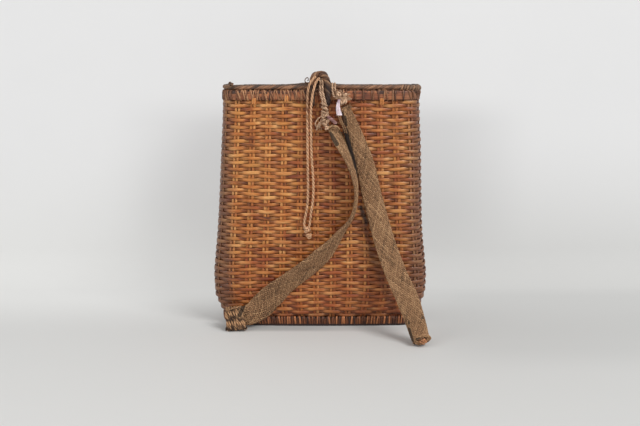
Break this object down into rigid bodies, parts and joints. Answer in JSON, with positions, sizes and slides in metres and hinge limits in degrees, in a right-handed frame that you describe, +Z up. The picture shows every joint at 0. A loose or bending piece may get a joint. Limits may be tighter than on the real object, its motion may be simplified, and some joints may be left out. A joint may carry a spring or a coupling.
{
  "type": "pack basket",
  "caption": "Tall woven pack basket with a sewn rim and foot band, a rope handle loop, a hanging knotted cord and plaited shoulder straps tied on at the rim.",
  "frame": {"origin": "centre of the underside of the basket's base, on the floor", "axes": "+Z up, -Y out of the face that the straps hang on, +X to the right as that face is seen"},
  "size_m": [0.3599, 0.3153, 0.4223],
  "materials": {
    "wicker": "woven flat splints, honey brown, satin",
    "base_wicker": "woven flat splints, brown, matte",
    "split_cane": "split cane, dark brown, satin",
    "cane_lashing": "narrow cane sewn over hoops, dark brown, satin",
    "twisted_border": "twisted bark strands, grey brown, matte",
    "handle_rope": "laid plant fibre rope, very dark brown, matte",
    "pale_cord": "two-ply plant fibre cord, pale tan, matte",
    "plaited_strap": "fine diagonal plait of plant fibre, speckled grey brown, matte",
    "frayed_core": "loose fibre, orange tan, matte",
    "corner_rope": "twisted plant fibre rope, tan, matte",
    "pale_cloth": "thin woven cloth, pinkish white, matte"
  },
  "bodies": {
    "basket": {"woven_wall": "wicker", "woven_base": "base_wicker", "rim_outer_hoop": "split_cane", "rim_inner_hoop": "split_cane", "rim_lashing": "cane_lashing", "rim_border": "twisted_border", "foot_edge_hoop": "split_cane", "foot_outer_hoop": "split_cane", "foot_lashing": "cane_lashing", "foot_inner_hoop": "split_cane", "handle_loop": "handle_rope", "handle_curl": "handle_rope", "left_corner_anchor": "corner_rope"},
    "hanging_cord": {"hanging_cord_left": "pale_cord", "hanging_cord_right": "pale_cord", "hanging_knot": "pale_cord"},
    "left_strap": {"left_tie_knot": "pale_cord", "left_tie_cord_left": "pale_cord", "left_tie_cord_right": "pale_cord", "left_strap": "plaited_strap", "left_corner_loop": "corner_rope"},
    "right_tie": {"right_tie_knot": "pale_cord", "right_tie_cord_left": "pale_cord", "right_tie_cord_right": "pale_cord", "cloth_tie": "pale_cloth"},
    "right_strap": {"right_strap": "plaited_strap", "right_strap_core": "frayed_core"}
  },
  "joints": [
    {"name": "hanging_cord_swing", "type": "hinge", "parent": "basket", "child": "hanging_cord", "pos_m": [0.0004, -0.10567, 0.4172], "axis": [-1, 0, 0], "range_deg": [0, 55]},
    {"name": "left_strap_swing", "type": "hinge", "parent": "basket", "child": "left_strap", "pos_m": [0.0004, -0.10567, 0.4172], "axis": [-0.37, 0, -0.929], "range_deg": [0, 45]},
    {"name": "right_tie_swing", "type": "hinge", "parent": "basket", "child": "right_tie", "pos_m": [0.0355, -0.095, 0.39625], "axis": [-1, 0, 0], "range_deg": [0, 45]},
    {"name": "right_strap_swing", "type": "hinge", "parent": "right_tie", "child": "right_strap", "pos_m": [0.0355, -0.11027, 0.376], "axis": [-1, 0, 0], "range_deg": [0, 70]}
  ]
}
